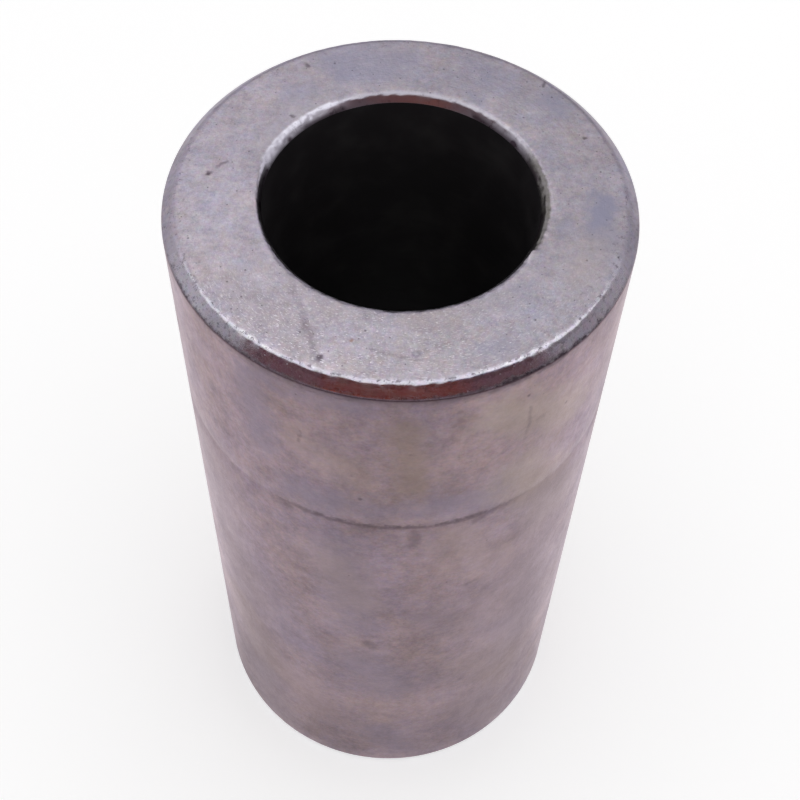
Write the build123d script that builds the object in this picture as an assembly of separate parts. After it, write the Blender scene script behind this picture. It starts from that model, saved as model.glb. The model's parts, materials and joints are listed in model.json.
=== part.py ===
from build123d import *
import os

# Spacer sleeve: a short thick-walled steel tube, turned from one piece and
# stood on end. It slips over a bolt and holds two parts a fixed distance apart.
# The origin is the centre of the bottom face, and +Z runs up along the axis.

# Driving dimensions in millimetres

# The tube
BORE_DIAMETER = 17.5       # clearance hole for a 16 mm bolt
WALL_THICKNESS = 6.25      # from the bore to the outside
LENGTH = 60.0              # between the two end faces

# The ends, finished alike at the top and at the bottom
OUTER_CHAMFER = 0.8        # leg of the 45 degree chamfer on the outside
COUNTERSINK_WIDTH = 0.35   # leg of the bore's steeper chamfer, across the end face
COUNTERSINK_DEPTH = 0.6    # its other leg, down the bore
RIM_BREAK = 0.6            # radius where an end face turns into its outer chamfer
WALL_BREAK = 0.45          # radius where the outer chamfer turns into the outside wall
MOUTH_BREAK = 0.45         # radius where an end face turns into its countersink
BORE_BREAK = 0.2           # radius where the countersink turns into the bore

# The fine line that the turning tool left round the outside
LINE_BELOW_TOP = 15.6      # from the top face down to the middle of the line
LINE_WIDTH = 0.4           # across its mouth
LINE_DEPTH = 0.03          # from the outside wall to its root


# Sizes that follow from them
bore_radius = BORE_DIAMETER / 2
outer_radius = bore_radius + WALL_THICKNESS
line_height = LENGTH - LINE_BELOW_TOP


def softened(section, corners, radius):
    """Rounds the named corners of a flat section with one radius."""
    sharp = [section.vertices().sort_by_distance(corner)[0] for corner in corners]
    return fillet(sharp, radius)


def wall_section():
    """Half of the sleeve's lengthwise cut, as distance from the axis and height."""
    chamfer_top = LENGTH - OUTER_CHAMFER
    mouth_top = LENGTH - COUNTERSINK_DEPTH
    face_outside = outer_radius - OUTER_CHAMFER
    face_inside = bore_radius + COUNTERSINK_WIDTH

    # The ends of each chamfer, at the bottom and at the top
    wall_corners = [(outer_radius, OUTER_CHAMFER), (outer_radius, chamfer_top)]
    bore_corners = [(bore_radius, COUNTERSINK_DEPTH), (bore_radius, mouth_top)]
    rim_corners = [(face_outside, 0), (face_outside, LENGTH)]
    mouth_corners = [(face_inside, 0), (face_inside, LENGTH)]

    # Once round the wall: bottom face, outside, top face, bore
    outline = Polyline(
        mouth_corners[0],
        rim_corners[0],
        wall_corners[0],
        wall_corners[1],
        rim_corners[1],
        mouth_corners[1],
        bore_corners[1],
        bore_corners[0],
        close=True,
    )
    section = make_face(outline)
    section = softened(section, rim_corners, RIM_BREAK)
    section = softened(section, mouth_corners, MOUTH_BREAK)
    section = softened(section, wall_corners, WALL_BREAK)
    section = softened(section, bore_corners, BORE_BREAK)
    return section


def tool_line_section():
    """A shallow V with its open side past the outside wall."""
    # The V is drawn to twice its depth, half of it in the wall and half in the air
    return make_face(
        Polyline(
            (outer_radius - LINE_DEPTH, line_height),
            (outer_radius + LINE_DEPTH, line_height - LINE_WIDTH),
            (outer_radius + LINE_DEPTH, line_height + LINE_WIDTH),
            close=True,
        )
    )


def spacer_sleeve():
    """The turned tube with its softened ends and the tool's fine line."""
    tube = revolve(Plane.XZ * wall_section(), Axis.Z)
    tool_line = revolve(Plane.XZ * tool_line_section(), Axis.Z)
    return tube - tool_line


os.makedirs("parts", exist_ok=True)
export_step(spacer_sleeve(), "parts/spacer_sleeve.step")
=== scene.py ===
# %% [markdown]
# A spacer sleeve, dressed for its portrait
#
# The object is a short steel tube with a thick wall. A lathe cut its ends and its bore, the edges got a
# small chamfer, and the whole piece was plated. It has lain among other parts since then, so the plating
# has turned cloudy and the edges are bruised. It is one piece, so this lesson is about one mesh and its
# finish.
#
# The dressed sleeve must fill the same space as the construction model in the end.

# %% Load the fixed frame
import json
import math

import bmesh
import bpy
from mathutils import Matrix, Vector, noise


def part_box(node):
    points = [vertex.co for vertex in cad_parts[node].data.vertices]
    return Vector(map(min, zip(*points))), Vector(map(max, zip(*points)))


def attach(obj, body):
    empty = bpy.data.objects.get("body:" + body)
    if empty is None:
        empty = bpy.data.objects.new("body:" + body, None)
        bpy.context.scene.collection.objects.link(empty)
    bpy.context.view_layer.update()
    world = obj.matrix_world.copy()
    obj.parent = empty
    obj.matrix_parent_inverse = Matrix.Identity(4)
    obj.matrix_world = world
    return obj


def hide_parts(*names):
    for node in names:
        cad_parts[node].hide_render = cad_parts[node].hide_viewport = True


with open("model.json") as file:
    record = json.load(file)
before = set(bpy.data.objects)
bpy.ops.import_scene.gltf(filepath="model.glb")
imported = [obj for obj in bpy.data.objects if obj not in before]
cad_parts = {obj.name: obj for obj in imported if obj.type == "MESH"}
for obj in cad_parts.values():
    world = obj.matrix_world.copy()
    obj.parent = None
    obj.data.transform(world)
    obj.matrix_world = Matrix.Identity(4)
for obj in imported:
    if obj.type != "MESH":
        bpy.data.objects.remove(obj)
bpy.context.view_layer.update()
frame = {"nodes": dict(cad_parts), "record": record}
print("construction nodes:", sorted(frame["nodes"]))

# %% [markdown]
# Sizes first
#
# Everything that is built later is measured from a few sizes. The radii and the length are read from the
# loaded model, so the dressed sleeve follows it. The small edge sizes are too fine to read off a faceted
# mesh, so they are written here in millimetres, as a drawing would give them.

# %% Sizes of the sleeve
MM = 0.001

cad_sleeve = frame["nodes"]["spacer_sleeve"]
bore_mount = next(m for m in frame["record"]["mounts"] if m["kind"] == "bore")
outer_radius = max(math.hypot(v.co.x, v.co.y) for v in cad_sleeve.data.vertices)
bore_radius = bore_mount["dims"]["r_mm"] * MM
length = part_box("spacer_sleeve")[1].z

outer_chamfer = 0.8 * MM
countersink_width = 0.35 * MM
countersink_depth = 0.6 * MM
rim_break = 0.6 * MM
wall_break = 0.45 * MM
mouth_break = 0.45 * MM
bore_break = 0.2 * MM

line_below_top = 15.6 * MM
line_width = 0.4 * MM
line_depth = 0.03 * MM

face_outside = outer_radius - outer_chamfer
face_inside = bore_radius + countersink_width
print(f"outside {outer_radius / MM:.3f}, bore {bore_radius / MM:.3f}, length {length / MM:.3f} mm")

# %% [markdown]
# The section as a chain of edges
#
# A turned part is its section swept round an axis. A cylinder with a hole cut in it would need a boolean,
# which leaves long thin faces where a highlight breaks. A chain of edges that is spun gives even rings
# instead, and they lie exactly where the wear needs them.
#
# No real edge is sharp. The bright thread of light round the top of this sleeve is the light from overhead
# in a rounded corner. A bevel after the spin would fold over where it is wider than the next ring's
# distance, so the arcs are drawn in the section.

# %% Draw the section
def rounded(before, corner, after, radius, steps):
    """The points of the arc that rounds a corner, or the corner itself where the radius is 0."""
    if radius == 0:
        return [corner]
    back = (before - corner).normalized()
    ahead = (after - corner).normalized()
    half = back.angle(ahead) / 2
    centre = corner + (back + ahead).normalized() * radius / math.sin(half)
    start = corner + back * radius / math.tan(half) - centre
    end = corner + ahead * radius / math.tan(half) - centre
    turns = [start.normalized().slerp(end.normalized(), step / steps) for step in range(steps + 1)]
    return [centre + turn * radius for turn in turns]


def at_front(radius, height):
    """A point of the section, on the side that faces the camera."""
    return Vector((0.0, -radius, height))


line_height = length - line_below_top
half_line = line_width / 2
worked_zone = 0.7 * MM
# Each corner: radius, height, radius and steps of its arc, rows of the straight run that follows it
section = [
    (face_inside, 0, mouth_break, 4, 6),
    (face_outside, 0, rim_break, 5, 3),
    (outer_radius, outer_chamfer, wall_break, 3, 15),
    (outer_radius, line_height - half_line, 0, 0, 2),
    (outer_radius - line_depth, line_height, 0, 0, 2),
    (outer_radius, line_height + half_line, 0, 0, 10),
    (outer_radius, length - outer_chamfer - worked_zone, 0, 0, 6),
    (outer_radius, length - outer_chamfer, wall_break, 6, 5),
    (face_outside, length, rim_break, 9, 20),
    (face_inside, length, mouth_break, 9, 5),
    (bore_radius, length - countersink_depth, bore_break, 3, 10),
    (bore_radius, countersink_depth, bore_break, 3, 3),
]
corners = [at_front(radius, height) for radius, height, *rest in section]
befores = corners[-1:] + corners[:-1]
afters = corners[1:] + corners[:1]
neighbours = zip(befores, corners, afters, section)
arcs = [rounded(before, corner, after, row[2], row[3]) for before, corner, after, row in neighbours]
points = []
for arc, following, (*rest, rows) in zip(arcs, arcs[1:] + arcs[:1], section):
    points += arc + [arc[-1].lerp(following[0], row / rows) for row in range(1, rows)]

mesh = bmesh.new()
verts = [mesh.verts.new(point) for point in points]
for pair in zip(verts, verts[1:] + verts[:1]):
    mesh.edges.new(pair)
print("section:", len(mesh.verts), "points")

# %% [markdown]
# Spin it round
#
# The spin makes one ring of faces for each edge of the section. A full turn closes on itself with
# use_merge. A stray double would split the surface there, so doubles are merged, and then the normals are
# turned outwards.

# %% Spin the section
TURN_STEPS = 600
DOUBLE = 0.0001 * MM


def sweep(chain, centre, angle, steps, closed=False):
    """Spins a chain of edges about an upright axis through a centre."""
    bmesh.ops.spin(
        chain,
        geom=chain.verts[:] + chain.edges[:],
        cent=centre,
        axis=(0, 0, 1),
        dvec=(0, 0, 0),
        angle=angle,
        steps=steps,
        use_merge=closed,
        use_duplicate=False,
    )


sweep(mesh, (0, 0, 0), math.tau, TURN_STEPS, closed=True)
bmesh.ops.remove_doubles(mesh, verts=mesh.verts, dist=DOUBLE)
bmesh.ops.recalc_face_normals(mesh, faces=mesh.faces)
print("after the spin:", len(mesh.faces), "faces")

# %% [markdown]
# Three kinds of surface
#
# The ends were cut clean, the outside kept the cloudy skin of the drawn bar, and the bore is nearly black.
# Each gets a material of its own, so each face is told which one it has. Where it lies decides that.

# %% Mark the surfaces
END, OUTSIDE, BORE = 0, 1, 2


def surface_of(face):
    """Which of the three surfaces a face belongs to, from where its middle lies."""
    middle = face.calc_center_median()
    radius = middle.xy.length
    from_end = min(middle.z, length - middle.z)
    if from_end > outer_chamfer and radius > face_inside:
        return OUTSIDE
    if from_end > countersink_depth and radius < face_inside:
        return BORE
    return END


for face in mesh.faces:
    face.material_index = surface_of(face)
    face.smooth = True
counts = [sum(face.material_index == kind for face in mesh.faces) for kind in (END, OUTSIDE, BORE)]
print("faces on the ends, the outside and the bore:", counts)

# %% [markdown]
# Bruises and nicks
#
# A bump map can't change an outline, and the bruised rim shows as an uneven thread of light. So the wear is
# in the mesh. Four rules say how far a point moves: the tool's line fades, the rim is bruised, the mouth of
# the bore was cut unevenly, and a few nicks are placed one by one.
#
# An azimuth is counted from the side that faces the camera, and is positive to the right.

# %% Helpers for the wear
STILL = Vector((0.0, 0.0, 0.0))


def place(azimuth, radius, height):
    """A point from its azimuth in degrees, its distance from the axis and its height."""
    turn = math.radians(azimuth)
    return Vector((radius * math.sin(turn), -radius * math.cos(turn), height))


def closeness(distance, reach):
    """1 at no distance, fading softly to 0 at the reach."""
    share = max(0.0, 1.0 - (distance / reach) ** 2)
    return share * share


def shade(point, grain, seed):
    """Smooth noise from about -1 to 1, with one grain size."""
    return noise.noise(point / grain + Vector((seed, seed, seed))) * 2.0


print("closeness halfway:", closeness(0.5, 1.0))

# %% [markdown]
# The line that fades
#
# The turning tool left a shallow V round the outside. It is plain to see in the middle and gone at the
# sides. So the root of the V is pushed back out to the wall, by a share that grows to the left and to the
# right.

# %% Fade the tool's line
LINE_LEFT = 0.8
LINE_REACH = 9.0 * MM


def faded_line(point, out):
    """How the root of the tool's line moves: out to the wall, except in the middle."""
    radius = point.xy.length
    if radius <= face_outside or abs(point.z - line_height) >= half_line / 2:
        return STILL
    return out * (outer_radius - radius) * (1 - LINE_LEFT * closeness(point.x, LINE_REACH))


print("line kept in front:", LINE_LEFT * line_depth / MM, "mm deep")

# %% [markdown]
# The bruised rim
#
# Years among other parts gave the rim many small bruises that no one would place by hand, so they come from
# noise: one makes broad dents, and a finer one makes the whole edge uneven. Both only press points into the
# metal, so the sleeve never grows.

# %% Bruise the rim
RIM_REACH = 0.6 * MM
RIM_DENT = 0.012 * MM
RIM_DENT_GRAIN = 1.3 * MM
RIM_UNEVEN = 0.014 * MM
RIM_LOSS = 0.006 * MM
FINE_GRAIN = 0.4 * MM


def bruised_rim(point, out, up):
    """How the outer rim moves: knocked in where the noise is high."""
    below_end = min(point.z, length - point.z)
    edge = closeness(math.hypot(point.xy.length - face_outside, below_end), RIM_REACH)
    if edge == 0:
        return STILL
    dents = RIM_DENT * max(0.0, shade(point, RIM_DENT_GRAIN, 3.0))
    knock = dents + RIM_UNEVEN * shade(point, FINE_GRAIN, 8.0)
    return (out + up).normalized() * -max(0.0, knock + RIM_LOSS) * edge


print("deepest bruise: about", (RIM_DENT + RIM_UNEVEN + RIM_LOSS) / MM, "mm")

# %% [markdown]
# The mouth of the bore
#
# The mouth was cut unevenly, so a list gives the depth of the cut round its edge. At the back on the left
# it was chipped as well, and one short lip is left standing inwards on the right. No point may pass an end
# face.

# %% Cut the mouth
# How deep the mouth was cut round its edge: azimuth, depth in mm; below 0 is metal left standing
MOUTH_CUTS = [
    (-180.0, 0.0),
    (-152.0, 0.0),
    (-146.0, 0.06),
    (-128.5, 0.03),
    (-127.3, 0.09),
    (-112.0, 0.05),
    (-104.0, 0.0),
    (-94.0, -0.10),
    (-72.0, -0.10),
    (-50.0, 0.0),
    (56.0, 0.0),
    (59.5, -0.08),
    (62.5, -0.10),
    (64.5, 0.02),
    (88.0, 0.04),
    (112.0, 0.0),
    (180.0, 0.0),
]
MOUTH_REACH = 0.65 * MM
MOUTH_CHIP = 0.035 * MM
MOUTH_DENT = 0.012 * MM
MOUTH_DENT_GRAIN = 0.8 * MM
MOUTH_UNEVEN = 0.018 * MM
MOUTH_LOSS = 0.010 * MM
CHIPS_AT, CHIPS_REACH = -122.0, 32.0


def mouth_cut(azimuth):
    """The depth of the cut at an azimuth, read off between the two nearest entries of the list."""
    for (first, start), (last, end) in zip(MOUTH_CUTS, MOUTH_CUTS[1:]):
        if first <= azimuth <= last:
            return (start + (end - start) * (azimuth - first) / (last - first)) * MM
    return 0.0


def cut_mouth(point, out, up):
    """How the mouth of the bore moves: by the list, and by chips and dents from noise."""
    radius = point.xy.length
    below_end = min(point.z, length - point.z)
    if radius >= face_inside + mouth_break or below_end >= countersink_depth:
        return STILL
    azimuth = math.degrees(math.atan2(point.x, -point.y))
    edge = closeness(math.hypot(radius - face_inside, below_end), MOUTH_REACH)
    chips = MOUTH_CHIP * closeness(azimuth - CHIPS_AT, CHIPS_REACH) + MOUTH_DENT
    dents = chips * max(0.0, shade(point, MOUTH_DENT_GRAIN, 5.0))
    knock = dents + MOUTH_UNEVEN * shade(point, FINE_GRAIN, 2.0)
    return (up - out).normalized() * -(max(0.0, knock + MOUTH_LOSS) + mouth_cut(azimuth)) * edge


depths = [row[1] for row in MOUTH_CUTS]
print("the mouth is cut", min(depths), "to", max(depths), "mm deep")

# %% [markdown]
# Nicks, and all the wear together
#
# The eye finds the few largest nicks at once, so each of them is placed where it is on the real sleeve.
# Then every point of the mesh is moved by all four rules.

# %% Wear the sleeve
# Each nick: azimuth, radius in mm, millimetres below the top face, reach in mm, depth in mm
NICKS = [
    (-119.0, 9.10, 0.15, 0.25, 0.05),
    (-138.0, 9.10, 0.15, 0.25, 0.05),
    (-109.0, 9.05, 0.15, 0.30, 0.05),
    (-20.0, 14.10, 0.05, 0.35, 0.02),
    (17.0, 14.15, 0.05, 0.35, 0.02),
]


def nicked(point, out, up):
    """How the nicks near a point move it."""
    move = Vector(STILL)
    for azimuth, radius, below_top, reach, depth in NICKS:
        nick = place(azimuth, radius * MM, length - below_top * MM)
        near = closeness((point - nick).length, reach * MM)
        if near > 0:
            outwards = out if radius * MM > face_inside + mouth_break else -out
            move -= (outwards + up).normalized() * depth * MM * near
    return move


def worn(point):
    """Where a point of the fresh mesh lies after years of knocks."""
    out = Vector((point.x, point.y, 0.0)).normalized()
    up = Vector((0.0, 0.0, 1.0 if point.z > length / 2 else -1.0))
    moved = point + faded_line(point, out)
    moved += bruised_rim(point, out, up)
    moved += cut_mouth(point, out, up)
    moved += nicked(point, out, up)
    moved.z = min(max(moved.z, 0.0), length)
    return moved


def add_object(name, data):
    """Puts a mesh, a lamp or a camera into the scene."""
    made = bpy.data.objects.new(name, data)
    bpy.context.scene.collection.objects.link(made)
    return made


for vert in mesh.verts:
    vert.co = worn(vert.co)

sleeve_mesh = bpy.data.meshes.new("spacer_sleeve_worn")
mesh.to_mesh(sleeve_mesh)
mesh.free()
sleeve = add_object("worn_sleeve", sleeve_mesh)
print("worn sleeve:", sum(len(p.vertices) - 2 for p in sleeve_mesh.polygons), "triangles")

# %% [markdown]
# Shader maths as Python
#
# A finish is a sum of masks. Wired by hand in the editor, such a sum is dozens of boxes that no one can
# read. This small class wraps a socket, so that a plain expression adds the Math nodes. Any other node is
# added by its node method, with the node's settings first and then the values or links of its sockets.

# %% A wire that can be added and multiplied
class Wire:
    """An output socket that can stand in a Python expression."""

    def __init__(self, tree, socket=None):
        self.tree = tree
        self.socket = socket

    def node(self, kind, settings, sockets, output=0):
        """Adds a node: settings first, then what goes into its sockets."""
        made = self.tree.nodes.new("ShaderNode" + kind)
        for name, value in settings.items():
            setattr(made, name, value)
        for name, value in sockets.items():
            if isinstance(value, Wire):
                self.tree.links.new(value.socket, made.inputs[name])
            else:
                made.inputs[name].default_value = value
        return Wire(self.tree, made.outputs[output])

    def maths(self, operation, first, second=0.0):
        return self.node("Math", {"operation": operation}, {0: first, 1: second})

    def __add__(self, other):
        return self.maths("ADD", self, other)

    def __radd__(self, other):
        return self.maths("ADD", other, self)

    def __sub__(self, other):
        return self.maths("SUBTRACT", self, other)

    def __rsub__(self, other):
        return self.maths("SUBTRACT", other, self)

    def __mul__(self, other):
        return self.maths("MULTIPLY", self, other)


print("wires can be added")

# %% [markdown]
# Helpers for a finish
#
# All patterns read the object's own coordinates in millimetres, so a size in a pattern is a size on the
# sleeve. A soft step turns a pattern into a mask. A mark is a short stroke with soft sides, which can be a
# dot, a scratch or a stain, because those differ only in length and width. One method mixes a whole list of
# them over a colour.

# %% Pattern helpers
class Finish:
    """A new material, with its coordinates in millimetres and the tools to paint it."""

    def __init__(self, name):
        self.material = bpy.data.materials.new(name)
        self.material.use_nodes = True
        tree = self.material.node_tree
        self.shader = next(n for n in tree.nodes if n.type == "BSDF_PRINCIPLED")
        self.start = Wire(tree)
        metres = self.start.node("TexCoord", {}, {}, "Object")
        self.point = self.vector("SCALE", metres, Scale=1 / MM)
        parts = self.start.node("SeparateXYZ", {}, {0: self.point})
        outputs = parts.socket.node.outputs
        self.x, self.y, self.z = (Wire(tree, outputs[i]) for i in range(3))
        flat = self.start.node("CombineXYZ", {}, {0: self.x, 1: self.y, 2: 0.0})
        self.radius = self.vector("LENGTH", flat, output=1)

    def vector(self, operation, first, second=None, output=0, **named):
        sockets = {0: first, **named}
        if second is not None:
            sockets[1] = second
        return self.start.node("VectorMath", {"operation": operation}, sockets, output)

    def noise(self, size, detail=2.0, rough=0.55, at=None, shift=0.0, stretch=(1, 1, 1), output="Fac"):
        """Soft clouds from 0 to 1; size is about one cloud in millimetres."""
        scale = tuple(s / size for s in stretch)
        moved = self.vector("MULTIPLY_ADD", at or self.point, scale)
        moved.socket.node.inputs[2].default_value = (shift, shift, shift)
        settings = {"noise_dimensions": "3D"}
        sockets = {"Vector": moved, "Scale": 1.0, "Detail": detail, "Roughness": rough}
        return self.start.node("TexNoise", settings, sockets, output)

    def outwards(self):
        """The level direction away from the axis."""
        return self.vector("NORMALIZE", self.start.node("CombineXYZ", {}, {0: self.x, 1: self.y, 2: 0.0}))

    def around(self, long, wide):
        """Coordinates for a noise whose grains lie along circles, with their length and width."""
        spread = outer_radius / MM / long
        spun = self.vector("SCALE", self.outwards(), Scale=spread)
        turned = self.start.node("SeparateXYZ", {}, {0: spun})
        outputs = turned.socket.node.outputs
        across, along = (Wire(turned.tree, outputs[i]) for i in range(2))
        return self.start.node("CombineXYZ", {}, {0: across, 1: along, 2: self.radius * (1 / wide)})

    def facing(self, azimuth, outer, inner):
        """A mask round the axis: 1 within the inner angle of an azimuth, fading to 0 at the outer angle."""
        turn = math.radians(azimuth)
        out = self.outwards()
        ahead = self.vector("DOT_PRODUCT", out, (math.sin(turn), -math.cos(turn), 0.0), output=1)
        return self.step(ahead, math.cos(math.radians(outer)), math.cos(math.radians(inner)))

    def shaded(self, colour, amount):
        """A colour made lighter or darker by a factor."""
        return self.vector("SCALE", colour, Scale=amount)

    def tinted(self, colour, size, strength, shift=0.0):
        """A colour whose red, green and blue each vary a little on their own."""
        grain = self.noise(size, 2.0, shift=shift, output="Color")
        low = (1 - strength / 2,) * 3
        factor = self.vector("MULTIPLY_ADD", grain, (strength,) * 3)
        factor.socket.node.inputs[2].default_value = low
        return self.vector("MULTIPLY", colour, factor)

    def step(self, value, low, high):
        """0 below low, 1 above high and smooth between; low may be the larger."""
        settings = {"interpolation_type": "SMOOTHSTEP", "clamp": True}
        sockets = {"Value": value, "From Min": low, "From Max": high, "To Min": 0.0, "To Max": 1.0}
        return self.start.node("MapRange", settings, sockets)

    def mix(self, mask, first, second):
        """A colour that goes from the first to the second with the mask."""
        settings = {"data_type": "RGBA", "blend_type": "MIX", "clamp_factor": True}
        return self.start.node("Mix", settings, {0: mask, 6: rgba(first), 7: rgba(second)}, 2)

    def specks(self, cell, size, share, shift=0.0):
        """Small round spots, at most one in each cell, and only in a share of the cells."""
        moved = self.vector("ADD", self.point, (shift, shift, shift))
        settings = {"voronoi_dimensions": "3D", "feature": "F1"}
        cells = self.start.node("TexVoronoi", settings, {"Vector": moved, "Scale": 1 / cell})
        outputs = cells.socket.node.outputs
        distance = Wire(cells.tree, outputs["Distance"])
        lot = self.start.node("SeparateColor", {}, {0: Wire(cells.tree, outputs["Color"])})
        chosen = self.step(lot, 1 - share, 1 - share + 0.02)
        return self.step(distance, size / cell, size / cell * 0.4) * chosen

    def mark(self, at, start, end, width):
        """A soft stroke from start to end, both in millimetres."""
        along = Vector(end) - Vector(start)
        rest = self.vector("SUBTRACT", at, tuple(start))
        if along.length < 0.01:
            distance = self.vector("LENGTH", rest, output=1)
        else:
            share = self.vector("DOT_PRODUCT", rest, tuple(along / along.length_squared), output=1)
            held = self.start.node("Clamp", {}, {"Value": share})
            foot = self.vector("SCALE", tuple(along), Scale=held)
            distance = self.vector("DISTANCE", rest, foot, output=1)
        return self.step(distance, width, width * 0.1)

    def marked(self, colour, at, spot, rows, dark=None):
        """A colour with strokes mixed over it; rows that name no colour take the dark one."""
        for a0, b0, a1, b1, width, *own, strength in rows:
            stroke = self.mark(at, spot(a0, b0), spot(a1, b1), width)
            colour = self.mix(stroke * strength, colour, own[0] if own else dark)
        return colour

    def bump(self, height, depth):
        """A normal from a height pattern, whose full range is a depth in millimetres."""
        sockets = {"Height": height, "Distance": depth * MM, "Strength": 1.0}
        return self.start.node("Bump", {}, sockets)

    def paint(self, **sockets):
        """Gives the shader its values and links."""
        for name, value in sockets.items():
            socket = self.shader.inputs[name.replace("_", " ")]
            if isinstance(value, Wire):
                self.start.tree.links.new(value.socket, socket)
            else:
                socket.default_value = value


def rgba(colour):
    """A colour of three numbers with a full alpha; a wire stays as it is."""
    return colour if isinstance(colour, Wire) else (*colour, 1.0)


def on_face(azimuth, radius):
    """A point of the top face, in millimetres."""
    return place(azimuth, radius, length / MM)


def on_outside(azimuth, below_top):
    """A point of the outside wall, in millimetres."""
    return place(azimuth, outer_radius / MM, length / MM - below_top)


print("helpers are ready")

# %% [markdown]
# The cut ends
#
# The end faces are satin silver with a cloudy film over it, more lavender in some places and more beige in
# others. A turned surface like this is uneven at every scale, from the grain of the metal to clouds as wide
# as the wall. A noise with a roughness of 1 does that, because each finer octave then counts as much as the
# one before. One such noise sets how light the metal is and a second one its hue.

# %% Colours of the ends
SILVER = (0.405, 0.360, 0.375)
LAVENDER = (0.348, 0.339, 0.419)
DEEP_LAVENDER = (0.290, 0.285, 0.365)
CUT_METAL = (0.60, 0.575, 0.62)
# Dark colour for dirt, and also for painted shade in the mouth of the bore.
GRIME_AND_SHADE = (0.075, 0.055, 0.07)
# Light colour of the painted glints, a painted highlight.
GLINT_HIGHLIGHT = (0.75, 0.73, 0.76)
LIGHT_METAL = (0.52, 0.49, 0.52)
PALE_BEIGE = (0.43, 0.375, 0.365)
FACE_SHADE = (0.325, 0.282, 0.282)
# The chips' fresh metal, made lighter partly as a painted highlight.
CHIPPED_METAL_AND_HIGHLIGHT = (0.70, 0.69, 0.75)
OLIVE_FILM = (0.175, 0.17, 0.14)

ends = Finish("cut_ends")
top = length / MM
below_end = ends.start.maths("MINIMUM", ends.z, top - ends.z)
lightness = 1 + (ends.noise(5.0, 6.0, 1.0) - 0.5) * 1.5
hue = ends.noise(5.0, 6.0, 0.95, shift=20.0)
face_colour = ends.mix((hue - 0.5) * 3.2 + 0.4, SILVER, LAVENDER)
face_colour = ends.tinted(ends.shaded(face_colour, lightness), 0.35, 0.22, shift=8.0)
print("clouds on the faces")

# %% [markdown]
# Stains and marks on the top face
#
# These are the few that give this sleeve its own face, so each is placed one by one. The point that they
# are measured from is shaken by noise first. Otherwise each would have the clean round ends of a pen
# stroke.

# %% Paint the stains and marks
shaken = ends.noise(0.9, 3.0, 0.7, shift=9.0, output="Color")
shake = ends.vector("SUBTRACT", shaken, (0.5, 0.5, 0.5))
warped = ends.vector("ADD", ends.point, ends.shaded(shake, 1.6))
jolted = ends.vector("ADD", ends.point, ends.shaded(shake, 0.5))

# Each stain: from azimuth and radius to azimuth and radius, width in mm, colour, strength
FACE_STAINS = [
    (-179, 12.2, -158, 12.8, 2.4, DEEP_LAVENDER, 0.60),
    (-172, 10.8, -160, 11.2, 1.6, DEEP_LAVENDER, 0.45),
    (-146, 11.2, -138, 11.4, 1.3, DEEP_LAVENDER, 0.45),
    (160, 12.8, 140, 12.2, 1.8, DEEP_LAVENDER, 0.35),
    (80, 12.3, 90, 12.7, 1.4, DEEP_LAVENDER, 0.95),
    (82, 12.2, 87, 12.4, 0.8, DEEP_LAVENDER, 0.60),
    (76, 10.3, 79, 10.4, 0.8, DEEP_LAVENDER, 0.50),
    (74, 13.3, 78, 13.5, 0.9, DEEP_LAVENDER, 0.55),
    (24, 12.8, 30, 13.2, 1.3, DEEP_LAVENDER, 0.55),
    (44, 10.2, 50, 10.3, 1.0, DEEP_LAVENDER, 0.35),
    (128, 12.9, 134, 13.1, 1.3, DEEP_LAVENDER, 0.60),
    (150, 9.9, 154, 10.0, 0.7, DEEP_LAVENDER, 0.60),
    (152, 11.0, 164, 11.2, 1.2, DEEP_LAVENDER, 0.35),
    (-52, 12.7, -26, 12.6, 2.2, FACE_SHADE, 0.35),
    (-56, 10.0, -26, 10.1, 1.4, FACE_SHADE, 0.30),
    (-26, 10.0, 8, 10.0, 1.2, FACE_SHADE, 0.20),
    (8, 10.0, 40, 10.2, 1.5, FACE_SHADE, 0.35),
    (58, 12.6, 74, 12.6, 2.0, PALE_BEIGE, 0.35),
    (-150, 10.0, -134, 9.8, 1.2, LIGHT_METAL, 0.20),
    (-134, 9.8, -114, 9.9, 1.2, LIGHT_METAL, 0.25),
]
face_colour = ends.marked(face_colour, warped, on_face, FACE_STAINS)

# Each dark mark, given the same way, without the colour
FACE_MARKS = [
    (-19, 13.9, -28, 11.4, 0.32, 0.30),
    (-28, 11.4, -40, 9.9, 0.38, 0.22),
    (-19, 13.4, -18.8, 13.5, 0.30, 0.85),
    (-28, 11.6, -27.5, 12.0, 0.40, 0.22),
    (-96, 12.2, -96, 12.25, 0.28, 0.90),
    (-99, 11.9, -102, 11.3, 0.20, 0.50),
    (-150, 13.0, -150, 13.3, 0.26, 0.60),
    (115, 12.9, 115, 13.0, 0.22, 0.70),
    (138, 13.7, 138, 13.9, 0.22, 0.60),
    (-132, 9.7, -132, 9.9, 0.20, 0.60),
    (-6.6, 12.12, 6.2, 12.78, 0.22, 0.28),
    (-12, 9.6, -10, 9.9, 0.30, 0.20),
]
face_colour = ends.marked(face_colour, jolted, on_face, FACE_MARKS, GRIME_AND_SHADE)

# A pock with a dark ring round it, and a dot of rust
POCK = on_face(5.3, 12.27)
RUST_DOT = on_face(-13.1, 11.67)
RUST = (0.30, 0.15, 0.08)
ring = ends.mark(ends.point, POCK, POCK, 0.36) * (1 - ends.mark(ends.point, POCK, POCK, 0.24))
face_colour = ends.mix(ring * 0.6, face_colour, GRIME_AND_SHADE)
face_colour = ends.mix(ends.mark(jolted, RUST_DOT, RUST_DOT, 0.22) * 0.6, face_colour, RUST)

# The short lip that stands in over the bore shows bare metal
lip = ends.mark(jolted, on_face(57.5, 9.15), on_face(62, 9.05), 0.35)
face_colour = ends.mix(lip * 0.7, face_colour, LIGHT_METAL)
print("stains:", len(FACE_STAINS), "marks:", len(FACE_MARKS))
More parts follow.
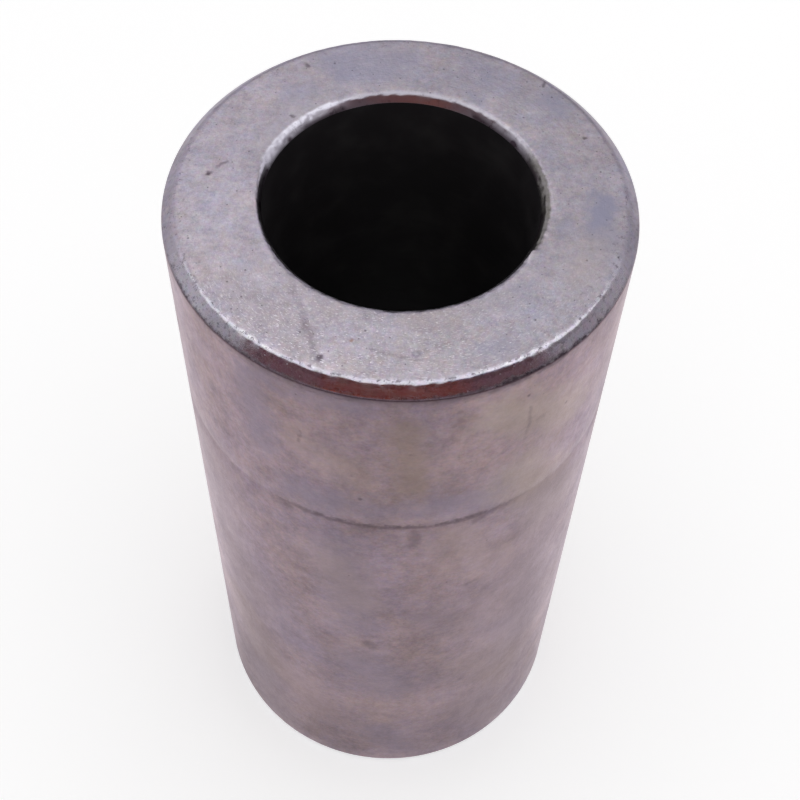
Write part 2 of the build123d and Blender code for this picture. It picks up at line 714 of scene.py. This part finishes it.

# %% [markdown]
# Pinpricks and glints
#
# The faces carry dark pinpricks, which crowd towards the rim. In front the metal glints along the tool's
# path, and those glints are painted highlights: short light dashes mixed into the colour. A noise that
# reads coordinates which run round the axis gives such dashes.

# %% Pinpricks and glints
to_rim = ends.step(ends.radius, 12.4, 14.2)
ragged = ends.noise(0.9, 4.0, 0.7, shift=15.0)
pinpricks = ends.specks(0.9, 0.10, 0.40) + ends.specks(0.45, 0.07, 0.30, shift=3.0)
crowded = to_rim * (0.5 + ends.facing(-75, 50, 20) * 0.5 + ends.facing(75, 50, 20) * 0.5)
pits = ends.step(ends.noise(0.28, 3.0, 0.7, shift=11.0), 0.58, 0.66) * (0.2 + crowded * 0.8)
dashes = ends.step(ends.noise(1.0, 2.0, 0.6, at=ends.around(0.30, 0.05), shift=7.0), 0.56, 0.72)
# Painted highlight: the glint dashes are kept to the front of the face.
painted_glints = dashes * ends.step(ends.y, -2.0, -13.0)
tool_path = ends.noise(1.0, 2.0, 0.6, at=ends.around(3.0, 0.14), shift=2.0)
face_colour = ends.mix(pinpricks * 0.5 + pits * 0.4, face_colour, GRIME_AND_SHADE)
face_colour = ends.mix(painted_glints * 0.75, face_colour, GLINT_HIGHLIGHT)
print("pinpricks and glints")

# %% [markdown]
# The cut edges
#
# The chamfers were cut last. They are brighter and smoother than the faces, so they mirror the room. A mask
# tells a cut edge from the flat face by how far a point lies below the face, and noise makes the border
# ragged. On the rim the mask fades away towards the back, where the real edge is as dull as the face.

# %% Tell the edges from the faces
in_mouth = ends.step(ends.radius, 11.0, 10.0)
polished = in_mouth + (1 - in_mouth) * ends.facing(0, 80, 58)
past_face = ends.step(ends.radius, 13.85, 14.0) + ends.step(ends.radius, 9.5, 9.3)
on_edge = ends.step(below_end + (ragged - 0.5) * 0.10, 0.0, 0.06) * polished * past_face
cut_colour = ends.tinted(CUT_METAL, 0.4, 0.25)
print("edge mask")

# %% [markdown]
# The colours of the mouth
#
# The cut round the bore is duller than the rim's, and darker towards the back, which is painted shade. It
# was chipped at the back on the left, where fresh metal shows, partly as real bare metal and partly as a
# painted highlight. An olive film covers it on the right. The chips are painted brightest at the top, next
# to the face, and darker further down: a painted highlight above painted shade.

# %% Colour the mouth
chipped_and_highlit = in_mouth * ends.facing(-127, 34, 22)
olive = in_mouth * ends.facing(88, 36, 20)
# Painted shade: the mouth's metal is darker towards the back.
mouth_metal_shaded_behind = ends.shaded(CUT_METAL, 0.82 - ends.facing(180, 60, 25) * 0.12)
# Painted highlight at the top of the chips, with painted shade further down.
chips_with_painted_light = ends.shaded(CHIPPED_METAL_AND_HIGHLIGHT, 1 - ends.step(below_end, 0.15, 0.65) * 0.6)
cut_colour = ends.mix(in_mouth, cut_colour, mouth_metal_shaded_behind)
cut_colour = ends.mix(chipped_and_highlit, cut_colour, chips_with_painted_light)
cut_colour = ends.mix(olive * (0.5 + ragged * 0.7), cut_colour, OLIVE_FILM)
print("mouth colours")

# %% [markdown]
# Dirt and painted shade on the edges
#
# Dirt lies where a rag doesn't reach: as specks on the chamfer, as crumbs in the bright thread on the rim,
# and as a frayed line in the corner under the chamfer. In front a thin darker line lies below the bright
# thread. Low down in the mouth of the bore the dark patches are painted shade. Each is a mask of its own,
# and their sum mixes one dark colour over the metal.

# %% Dirty and shade the edges
speckled = ends.step(ends.noise(0.4, 3.0, 0.7, shift=15.0), 0.54, 0.68)
dirt_and_shade = speckled * (0.25 + ends.facing(-62, 30, 12) * 0.20) + pits * 0.3

crumbs = ends.step(ends.noise(0.45, 3.0, 0.7, shift=33.0), 0.53, 0.61)
dirt_and_shade = dirt_and_shade + crumbs * ends.step(ends.radius, 13.75, 13.95) * ends.step(ends.radius, 14.30, 14.15) * 0.7

frayed = ends.noise(0.5, 3.0, 0.7, shift=44.0)
from_corner = ends.start.maths("ABSOLUTE", ends.radius - outer_radius / MM)
corner_dirt = ends.step(from_corner + ragged * 0.3 + (frayed - 0.5) * 0.5, 0.40, 0.14)
corner_dirt = corner_dirt * (0.42 + ends.facing(37, 24, 12) * 0.50 + ends.facing(-44, 24, 12) * 0.35)
under_thread = ends.start.maths("ABSOLUTE", below_end - 0.23) + (frayed - 0.5) * 0.5
# A thin darker line under the bright thread, in front.
darker_line_under_thread = ends.step(under_thread, 0.10, 0.03) * (1 - in_mouth) * ends.facing(14, 46, 28)
dirt_and_shade = dirt_and_shade + corner_dirt + darker_line_under_thread * 0.26

# Each patch of painted shade low in the bore's mouth: from azimuth to azimuth, width in mm, strength
MOUTH_SHADOWS = [
    (-124.0, -124.0, 0.34, 0.90),
    (-153.0, -134.0, 0.34, 0.55),
    (-104.0, -84.0, 0.42, 0.85),
    (-84.0, -64.0, 0.42, 0.85),
    (66.0, 84.0, 0.40, 0.80),
    (104.0, 126.0, 0.36, 0.70),
    (126.0, 148.0, 0.36, 0.80),
]
SHADOW_RADIUS = 8.87
SHADOW_HEIGHT = top - 0.50
for start, end, width, strength in MOUTH_SHADOWS:
    edges = [place(azimuth, SHADOW_RADIUS, SHADOW_HEIGHT) for azimuth in (start, end)]
    dirt_and_shade = dirt_and_shade + ends.mark(ends.point, *edges, width) * strength
# One dark colour over the metal, for the dirt and for the painted shade in the mouth.
chamfer_colour = ends.mix(dirt_and_shade, cut_colour, GRIME_AND_SHADE)
print("shadows in the mouth:", len(MOUTH_SHADOWS))

# %% [markdown]
# The ends put together
#
# Everything meets in one shader. A cut edge is smoother than the face, so it gets less roughness and a
# weaker bump. A painted glint is a smooth spot as well.

# %% Finish of the ends
grain = ends.noise(0.22, 3.0, 0.7, shift=2.0) + tool_path * 0.5
roughness = 0.38 - on_edge * 0.18 + (lightness - 1) * -0.15 - painted_glints * 0.15 + pinpricks * 0.2
roughness = roughness + in_mouth * on_edge * 0.10 + chipped_and_highlit * 0.10 + corner_dirt * 0.30
ends.paint(
    Base_Color=ends.mix(on_edge, face_colour, chamfer_colour),
    Metallic=1.0,
    Roughness=roughness,
    Normal=ends.bump((grain + ends.noise(0.8, 2.0, shift=6.0)) * (1 - on_edge * 0.65), 0.012),
)
print("ends:", len(ends.start.tree.nodes), "nodes")

# %% [markdown]
# The cloudy outside
#
# The outside is mauve grey with beige and lavender clouds that run into each other, from the passivated
# plating. It is made like the ends: one noise for the lightness and one for the hue, both uneven at every
# scale. The bar was drawn lengthwise, so a third noise is stretched along the sleeve.

# %% Colours of the outside
BEIGE = (0.303, 0.221, 0.220)
MAUVE = (0.258, 0.200, 0.253)
SIDE_LAVENDER = (0.225, 0.191, 0.249)
OLIVE = (0.258, 0.196, 0.165)
LIGHT_BEIGE = (0.340, 0.261, 0.245)
YELLOW_BEIGE = (0.352, 0.290, 0.245)
SIDE_SHADE = (0.212, 0.165, 0.182)
SIDE_DARK_COLOUR = (0.085, 0.062, 0.075)

outside = Finish("cloudy_outside")
below_top = top - outside.z
broad = outside.noise(5.0, 1.0, 0.5, shift=50.0, stretch=(1, 1, 0.6))
side_lightness = 1 + (outside.noise(9.0, 6.0, 0.95) - 0.5) * 1.6 + (broad - 0.5) * 0.35
side_hue = outside.noise(9.0, 6.0, 0.95, shift=12.0)
side_colour = outside.mix((side_hue - 0.5) * 3.6 + 0.5, BEIGE, MAUVE)
drawn = outside.noise(0.5, 3.0, shift=5.0, stretch=(1, 1, 0.2))
side_lightness = side_lightness + (drawn - 0.5) * 0.12
side_colour = outside.tinted(outside.shaded(side_colour, side_lightness), 0.35, 0.20, shift=3.0)
print("clouds on the outside")

# %% [markdown]
# Stains and marks on the outside
#
# Again a few are placed one by one, with their points shaken by noise: a lavender band above the line,
# lighter beige on the right, and the smudges and scratches that lie near the line.

# %% Paint the outside
shaken = outside.noise(1.6, 4.0, 0.7, shift=9.0, output="Color")
shake = outside.vector("SUBTRACT", shaken, (0.5, 0.5, 0.5))
warped = outside.vector("ADD", outside.point, outside.shaded(shake, 4.0))
jolted = outside.vector("ADD", outside.point, outside.shaded(shake, 1.0))

# Each stain: from azimuth and depth below the top to the same, width in mm, colour, strength
SIDE_STAINS = [
    (-24, 13.4, 24, 13.4, 2.8, SIDE_LAVENDER, 0.65),
    (-36, 3.0, -34, 9.5, 2.2, SIDE_LAVENDER, 0.60),
    (-32, 1.8, -8, 1.8, 1.6, SIDE_LAVENDER, 0.45),
    (3, 4.0, 6, 10.5, 2.4, OLIVE, 0.55),
    (26, 4.0, 48, 8.0, 3.4, YELLOW_BEIGE, 0.60),
    (34, 12.0, 48, 20.0, 4.2, YELLOW_BEIGE, 0.60),
    (-22, 7.0, -10, 9.5, 2.6, LIGHT_BEIGE, 0.40),
    (18, 18.0, 28, 23.0, 3.6, LIGHT_BEIGE, 0.45),
    (-14, 19.0, -10, 31.0, 3.2, SIDE_LAVENDER, 0.45),
    (-8, 38.0, 2, 42.0, 4.5, SIDE_LAVENDER, 0.50),
    (-40, 30.0, -30, 38.0, 4.0, SIDE_LAVENDER, 0.35),
    (34, 28.0, 42, 48.0, 5.5, SIDE_SHADE, 0.50),
    (-48, 36.0, -44, 50.0, 4.5, SIDE_SHADE, 0.45),
    (-58, 18.0, -50, 34.0, 5.5, SIDE_SHADE, 0.60),
    (-50, 50.0, -40, 56.0, 4.5, SIDE_SHADE, 0.50),
    (47, 18.0, 49, 40.0, 5.0, SIDE_SHADE, 0.60),
    (28, 50.0, 40, 56.0, 4.5, SIDE_SHADE, 0.60),
    (14, 30.0, 26, 34.0, 3.5, SIDE_SHADE, 0.40),
    (24, 40.0, 42, 46.0, 4.5, OLIVE, 0.35),
    (-54, 40.0, -42, 46.0, 4.5, OLIVE, 0.35),
    (-16, 22.0, -8, 27.0, 3.5, LIGHT_BEIGE, 0.40),
    (-30, 46.0, -22, 50.0, 4.0, BEIGE, 0.50),
    (-2, 52.0, 6, 56.0, 3.0, SIDE_LAVENDER, 0.40),
]
side_colour = outside.marked(side_colour, warped, on_outside, SIDE_STAINS)

# Each dark mark, given the same way, without the colour
SIDE_MARKS = [
    (6, 16.2, 6, 18.2, 0.7, 0.40),
    (22, 16.3, 24, 16.1, 0.5, 0.40),
    (-28, 16.1, -27, 16.1, 0.5, 0.35),
    (22.5, 25.5, 24.5, 25.3, 0.5, 0.35),
    (-5.5, 34.0, -4.0, 34.8, 0.7, 0.35),
    (-44, 1.35, -26, 1.25, 0.16, 0.40),
    (-26, 1.25, -10, 1.15, 0.16, 0.35),
    (22, 1.05, 31, 1.0, 0.30, 0.55),
    (34, 0.95, 42, 1.0, 0.26, 0.60),
    (-60, 0.95, -46, 0.95, 0.22, 0.40),
    (32, 3.0, 32, 3.05, 0.22, 0.70),
    (45, 6.8, 45, 6.85, 0.20, 0.60),
    (-9.5, 9.5, -9.5, 9.55, 0.20, 0.60),
    (-8, 12.2, -8, 12.25, 0.22, 0.60),
    (-22, 6.0, -22.5, 7.2, 0.20, 0.35),
    (33, 4.5, 33.5, 8.0, 0.25, 0.30),
    (-22, 6.5, 4, 6.6, 0.30, 0.16),
    (4, 6.6, 38, 6.4, 0.30, 0.20),
]
side_colour = outside.marked(side_colour, jolted, on_outside, SIDE_MARKS, SIDE_DARK_COLOUR)
print("stains:", len(SIDE_STAINS), "marks:", len(SIDE_MARKS))

# %% [markdown]
# The tool's line
#
# The line is a shallow V, left where the turning tool started again. Dirt fills it only in front, and
# unevenly. Elsewhere it is clean and nearly gone. So the dirt fades to both sides, and noise breaks it up.
# Just under the chamfer the outside is made darker with the same dark colour, most in front.

# %% Finish of the outside
in_front = outside.facing(2, 40, 12)
patchy = outside.step(outside.noise(2.2, 4.0, 0.8, shift=40.0), 0.38, 0.62)
from_line = outside.start.maths("ABSOLUTE", below_top - line_below_top / MM + (patchy - 0.5) * 0.25)
deep_dirt = outside.step(from_line, 0.42, 0.05) * (0.20 + patchy * 0.45)
in_line = (deep_dirt + outside.step(from_line, 0.95, 0.20) * 0.10) * in_front
side_colour = outside.mix(in_line, side_colour, SIDE_DARK_COLOUR)
side_specks = outside.specks(1.4, 0.10, 0.3) + outside.specks(0.7, 0.06, 0.2, shift=5.0)
side_colour = outside.mix(side_specks * 0.5, side_colour, SIDE_DARK_COLOUR)
# Darker just under the chamfer, most in front.
under_chamfer_edge = outside.noise(1.2, 4.0, 0.7, shift=30.0)
darker_under_chamfer = outside.step(below_top + (under_chamfer_edge - 0.5) * 0.9, 1.7, 0.8)
darker_under_chamfer = darker_under_chamfer * (0.15 + outside.facing(0, 60, 30) * 0.35 + outside.facing(0, 25, 8) * 0.15)
side_colour = outside.mix(darker_under_chamfer, side_colour, SIDE_DARK_COLOUR)

outside.paint(
    Base_Color=side_colour,
    Metallic=1.0,
    Roughness=0.36 + in_line * 0.2 - (side_lightness - 1) * 0.2,
    Specular_Tint=(0.97, 0.90, 0.95, 1),
    Normal=outside.bump(drawn + outside.noise(0.25, 3.0, 0.8, shift=6.0), 0.014),
)
print("outside:", len(outside.start.tree.nodes), "nodes")

# %% [markdown]
# The dark bore
#
# Little light gets into a narrow bore, so its wall is painted nearly black as painted shade. A plain dark
# paint would do from the front, but the bore may be seen straight in, so the wall keeps a faint sheen and
# faint rings from the drill.

# %% Finish of the bore
# Painted shade: the nearly black colours stand in for the dark inside of the bore.
BORE_SHADE = (0.018, 0.016, 0.018)
BORE_SHADE_PALER = (0.040, 0.037, 0.038)

bore = Finish("dark_bore")
bore_clouds = bore.noise(2.5, 3.0)
drill_rings = bore.noise(0.6, 2.0, shift=3.0, stretch=(0.15, 0.15, 1))
bore.paint(
    Base_Color=bore.mix(bore.step(bore_clouds, 0.4, 0.8) * 0.6, BORE_SHADE, BORE_SHADE_PALER),
    Metallic=0.0,
    Roughness=0.55 + (bore_clouds - 0.5) * 0.2,
    Specular_IOR_Level=0.25,
    Normal=bore.bump(drill_rings, 0.02),
)
print("bore:", len(bore.start.tree.nodes), "nodes")

# %% [markdown]
# Dress the sleeve
#
# The materials go on the mesh in the order that the faces were marked in.

# %% Put the finishes on
for finish in (ends, outside, bore):
    sleeve_mesh.materials.append(finish.material)
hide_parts("spacer_sleeve")
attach(sleeve, "root")
print("sleeve dressed")

# %% [markdown]
# Floor
#
# The sleeve stands on a plain pale floor. It is lifted to white only for rays that come from the camera,
# off metal or through glass. So the background is white, while the floor sends no extra light onto the
# sleeve and keeps the soft shadow at its foot.

# %% Lay the floor
FLOOR_SIZE = 4.0
FLOOR_LIFT = 0.38
FLOOR_GREY = (0.88, 0.88, 0.88, 1)


def seen_directly(start):
    """1 for rays from the camera, off metal or through glass, and 0 for the rest."""
    path = start.node("LightPath", {}, {})
    outputs = path.socket.node.outputs
    rays = [Wire(start.tree, outputs[f"Is {kind} Ray"]) for kind in ("Camera", "Glossy", "Transmission")]
    return start.maths("MAXIMUM", start.maths("MAXIMUM", rays[0], rays[1]), rays[2])


floor_mesh = bpy.data.meshes.new("floor")
floor_bm = bmesh.new()
bmesh.ops.create_grid(floor_bm, x_segments=1, y_segments=1, size=FLOOR_SIZE / 2)
floor_bm.to_mesh(floor_mesh)
floor_bm.free()
floor = add_object("floor", floor_mesh)

floor_finish = Finish("pale_floor")
floor_finish.paint(
    Base_Color=FLOOR_GREY,
    Roughness=0.9,
    Specular_IOR_Level=0.0,
    Emission_Color=(1, 1, 1, 1),
    Emission_Strength=seen_directly(floor_finish.start) * FLOOR_LIFT,
)
floor_mesh.materials.append(floor_finish.material)
print("floor laid")

# %% [markdown]
# Light
#
# Metal shows its surroundings more than its own colour, so the lights here are things to be reflected. A
# wide softbox overhead draws the bright thread along the rim. The room itself is white. A white room alone
# makes metal look like paper, so screens stand round the sleeve, as a photographer would place card round a
# shiny part. The chamfer shows them well: it is red-brown where it mirrors what stood in front of the
# sleeve, and dull grey beside that.
#
# The lamp comes first. It is the only one, because everything else that lights this sleeve is seen in it.

# %% Lamps
MOUTH = Vector((0.0, 0.0, length))
# Its azimuth and elevation in degrees and its distance in metres, then its width and height
SOFTBOX_AT = (25, 82, 0.60)
SOFTBOX_SIZE = (0.74, 0.66)
SOFTBOX_GLOW = 0.65
SOFTBOX_COLOUR = (1.0, 0.99, 1.0)


def towards(azimuth, elevation, distance):
    """A point at this azimuth and elevation, in degrees, as seen from the top of the sleeve."""
    up = math.radians(elevation)
    return place(azimuth, math.cos(up) * distance, length + math.sin(up) * distance)


def softbox(name, spot, width, height, radiance, colour):
    """A rectangular lamp that looks at the top of the sleeve; its power follows from its size."""
    lamp = bpy.data.lights.new(name, "AREA")
    lamp.shape = "RECTANGLE"
    lamp.size = width
    lamp.size_y = height
    lamp.energy = radiance * math.pi * width * height
    lamp.color = colour
    holder = add_object(name, lamp)
    turn = (MOUTH - spot).to_track_quat("-Z", "Y").to_matrix().to_4x4()
    holder.matrix_world = Matrix.Translation(spot) @ turn
    holder.visible_camera = False
    print(f"{name}: {lamp.energy:.2f} W")


softbox("overhead_softbox", towards(*SOFTBOX_AT), *SOFTBOX_SIZE, SOFTBOX_GLOW, SOFTBOX_COLOUR)

# %% [markdown]
# A screen for a reflection
#
# Each screen is a line of points that is spun round the sleeve's axis, with a plain glow. Only reflections
# see it, so it lights nothing and casts no shadow. A lamp of the same size would do the same to the metal,
# but it would light the floor as well.

# %% Helpers for the screens
SCREEN_ROWS = 8
SCREEN_STEPS = 24
HIDDEN_FROM = ("camera", "diffuse", "shadow", "transmission", "volume_scatter")


def on_ball(elevations, distance):
    """Points up a ball round the top of the sleeve, between two elevations in degrees."""
    low, high = elevations
    steps = [low + (high - low) * row / SCREEN_ROWS for row in range(SCREEN_ROWS + 1)]
    return [towards(0, elevation, distance) for elevation in steps]


def screen(name, line, azimuths, colour):
    """A glowing patch that a line of points sweeps between two azimuths; only reflections see it."""
    shape = bmesh.new()
    turn = Matrix.Rotation(math.radians(azimuths[0]), 4, "Z")
    verts = [shape.verts.new(turn @ point) for point in line]
    for pair in zip(verts, verts[1:]):
        shape.edges.new(pair)
    sweep(shape, MOUTH, math.radians(azimuths[1] - azimuths[0]), SCREEN_STEPS)
    data = bpy.data.meshes.new(name)
    shape.to_mesh(data)
    shape.free()
    glow = Finish(name)
    glow.paint(Base_Color=(0, 0, 0, 1), Specular_IOR_Level=0.0)
    glow.paint(Emission_Color=(*colour, 1), Emission_Strength=1.0)
    data.materials.append(glow.material)
    holder = add_object(name, data)
    for ray in HIDDEN_FROM:
        setattr(holder, "visible_" + ray, False)


print("helpers for the screens are ready")

# %% [markdown]
# Where the screens stand
#
# Most screens are parts of a ball round the top of the sleeve. To place one, take a spot on the sleeve,
# turn the line of sight about its normal and follow it outwards. The flat top mirrors what stands high
# behind the sleeve, and the chamfer mirrors what stands in front. A few low ones stand close by, for the
# narrow arc under the chamfer.

# %% Stand the screens round the sleeve
# Each screen: its name, its elevations, its distance in metres, its azimuths and its glow
SCREENS = [
    # In front, for the chamfer
    ("red_screen_left_of_the_middle", (8, 47), 0.40, (-30, 0), (0.152, 0.034, 0.028)),
    ("red_screen_right_of_the_middle", (8, 43), 0.40, (0, 30), (0.170, 0.040, 0.032)),
    ("brown_screen_on_the_left", (18, 42), 0.45, (-66, -28), (0.150, 0.070, 0.085)),
    ("brown_screen_on_the_right", (18, 44), 0.45, (28, 66), (0.140, 0.068, 0.082)),
    ("purple_screen_on_the_left", (40, 45), 0.46, (-66, -12), (0.18, 0.15, 0.20)),
    ("purple_screen_on_the_right", (42, 54), 0.46, (22, 66), (0.15, 0.125, 0.19)),
    ("dim_screen_low_in_front", (6, 18), 0.45, (-66, 66), (0.19, 0.155, 0.17)),
    ("dim_screen_low_on_the_right", (4, 15), 0.45, (66, 82), (0.19, 0.165, 0.19)),
    # At the sides, where the chamfer turns away
    ("half_light_screen_on_the_left", (4, 33), 0.50, (-110, -84), (0.58, 0.56, 0.61)),
    ("grey_screen_on_the_left", (4, 33), 0.50, (-84, -62), (0.43, 0.41, 0.45)),
    ("light_screen_on_the_left", (4, 56), 0.51, (-155, -110), (0.84, 0.81, 0.90)),
    ("grey_screen_on_the_right", (5, 32), 0.50, (62, 92), (0.35, 0.32, 0.36)),
    ("half_light_screen_on_the_right", (5, 32), 0.50, (92, 105), (0.41, 0.38, 0.42)),
    ("light_screen_on_the_right", (5, 54), 0.51, (105, 150), (0.68, 0.65, 0.71)),
    # High up, for the bright thread on the rim
    ("white_card_overhead", (68, 89), 0.50, (-180, 180), (1.18, 1.17, 1.24)),
    ("white_card_in_front", (52, 68), 0.50, (-70, 70), (1.12, 1.11, 1.20)),
    ("white_card_high_on_the_left", (38, 57), 0.48, (-106, -72), (1.20, 1.20, 1.28)),
    ("white_card_high_on_the_right", (38, 57), 0.48, (72, 106), (1.25, 1.25, 1.33)),
    # Low, for the mouth of the bore, which mirrors what lies across it
    ("rusty_screen_low_left", (8, 19), 0.39, (-32, -2), (0.360, 0.078, 0.030)),
    ("rusty_screen_low_right", (8, 19), 0.39, (-2, 17), (0.200, 0.075, 0.068)),
    ("dark_screen_low_right", (4, 21), 0.39, (17, 66), (0.15, 0.12, 0.14)),
    ("white_card_low_right", (-8, 3), 0.42, (72, 102), (1.10, 1.10, 1.15)),
    ("grey_card_low_left", (-4, 4), 0.42, (-125, -62), (0.62, 0.60, 0.65)),
    # Low and close, for the arc under the chamfer
    ("dark_card_low_in_front", (-30, 6), 0.110, (-62, 62), (0.26, 0.195, 0.225)),
    ("grey_card_low_left_front", (-30, -4), 0.110, (-108, -62), (0.42, 0.38, 0.42)),
    ("grey_card_low_right_front", (-30, 3), 0.110, (62, 108), (0.42, 0.38, 0.42)),
    ("light_card_low_behind", (-30, -4), 0.115, (112, 250), (0.82, 0.79, 0.86)),
    # Behind, for the top face
    ("window_behind_on_the_left", (36, 54), 0.55, (-174, -112), (1.90, 1.85, 1.90)),
    ("high_window_on_the_left", (54, 64), 0.55, (-172, -118), (1.62, 1.58, 1.62)),
    ("grey_screen_high_on_the_right", (50, 66), 0.55, (132, 170), (0.86, 0.85, 0.86)),
    ("grey_screen_behind", (-5, 40), 0.53, (125, 235), (0.44, 0.42, 0.48)),
    ("low_wall", (-5, 16), 0.56, (-180, 180), (0.46, 0.44, 0.47)),
]
for name, elevations, distance, azimuths, glow in SCREENS:
    screen(name, on_ball(elevations, distance), azimuths, glow)
print("screens round the sleeve:", len(SCREENS))

# %% [markdown]
# The floor as the wall sees it
#
# The wall of the sleeve mirrors the floor near it. So more screens lie flat, just above the floor: darker
# ones in front, where less light fell, and lighter ones behind. The sleeve shades the floor at its foot, so
# each patch is cut into rings, and the ring at the foot is the dimmest.

# %% Lay the patches of floor
JUST_ABOVE_FLOOR = 0.5 * MM
# Each patch of floor: where it lies round the sleeve, and how brightly it glows
FLOOR_PATCHES = [
    ("camera_shadow", (-30, 30), 0.86),
    ("camera_shadow_left", (-75, -30), 0.98),
    ("camera_shadow_right", (30, 75), 0.99),
    ("floor_on_the_left", (-105, -75), 1.13),
    ("floor_on_the_right", (75, 105), 1.18),
    ("lit_floor_left", (-135, -105), 1.18),
    ("lit_floor_right", (105, 135), 1.20),
    ("half_lit_floor_left", (-150, -135), 1.40),
    ("half_lit_floor_right", (135, 150), 1.40),
    ("lit_floor_behind", (150, 210), 1.64),
]
# Each ring: its name, its distances from the axis in mm, and its share of the patch's glow
FLOOR_RINGS = [
    ("far", (36, 50, 80), 1.0),
    ("middle", (23, 30, 36), 1.06),
    ("near", (19, 23), 0.92),
    ("foot", (15.2, 19), 0.77),
]
for patch, azimuths, glow in FLOOR_PATCHES:
    for ring, distances, share in FLOOR_RINGS:
        line = [at_front(distance * MM, JUST_ABOVE_FLOOR) for distance in distances]
        screen(patch + "_" + ring, line, azimuths, (glow * share,) * 3)
print("floor patches:", len(FLOOR_PATCHES) * len(FLOOR_RINGS))

# %% [markdown]
# The room
#
# The world is plain white for the camera and for reflections. For all other rays it is dimmer, so that the
# floor keeps its shadow.

# %% The white room
AMBIENT = 0.55

world = bpy.data.worlds.new("white_room")
bpy.context.scene.world = world
world.use_nodes = True
room = world.node_tree
background = next(n for n in room.nodes if n.type == "BACKGROUND")
background.inputs["Color"].default_value = (1, 1, 1, 1)
room_light = AMBIENT + seen_directly(Wire(room)) * (1 - AMBIENT)
room.links.new(room_light.socket, background.inputs["Strength"])
print("room light:", AMBIENT)

# %% [markdown]
# Camera
#
# The outline of the sleeve in the picture fixes where the camera stood. It looked down at the top face from
# close by, about six times the sleeve's radius from it, so the sleeve narrows strongly towards its foot.
# The camera's place is given from the middle of the top face, and its three small turns are applied one
# after the other to a camera that starts out looking straight down.

# %% Place the camera
CAMERA_DISTANCE = 87.89 * MM
CAMERA_ELEVATION = math.radians(47.485)
LOOKS_DOWN = math.radians(55.849)
TURNS_RIGHT = math.radians(0.216)
LEANS_LEFT = math.radians(1.856)
LENS = 62.70
SENSOR_WIDTH = 36.0
NEAREST_SEEN = 1.0 * MM

rise = math.sin(CAMERA_ELEVATION) * CAMERA_DISTANCE
back = math.cos(CAMERA_ELEVATION) * CAMERA_DISTANCE
camera_data = bpy.data.cameras.new("camera")
camera_data.lens = LENS
camera_data.sensor_width = SENSOR_WIDTH
camera_data.clip_start = NEAREST_SEEN
camera = add_object("camera", camera_data)
camera.matrix_world = (
    Matrix.Translation((0.0, -back, length + rise))
    @ Matrix.Rotation(math.pi / 2 - LOOKS_DOWN, 4, "X")
    @ Matrix.Rotation(-TURNS_RIGHT, 4, "Y")
    @ Matrix.Rotation(LEANS_LEFT, 4, "Z")
)
bpy.context.scene.camera = camera
bpy.context.scene.view_settings.view_transform = "Standard"
print("camera at", tuple(round(value, 4) for value in camera.matrix_world.translation))

# %% [markdown]
# Last check
# The end
# The dressed sleeve must fill the box of the construction model.

# %% Finish
print("scene built")
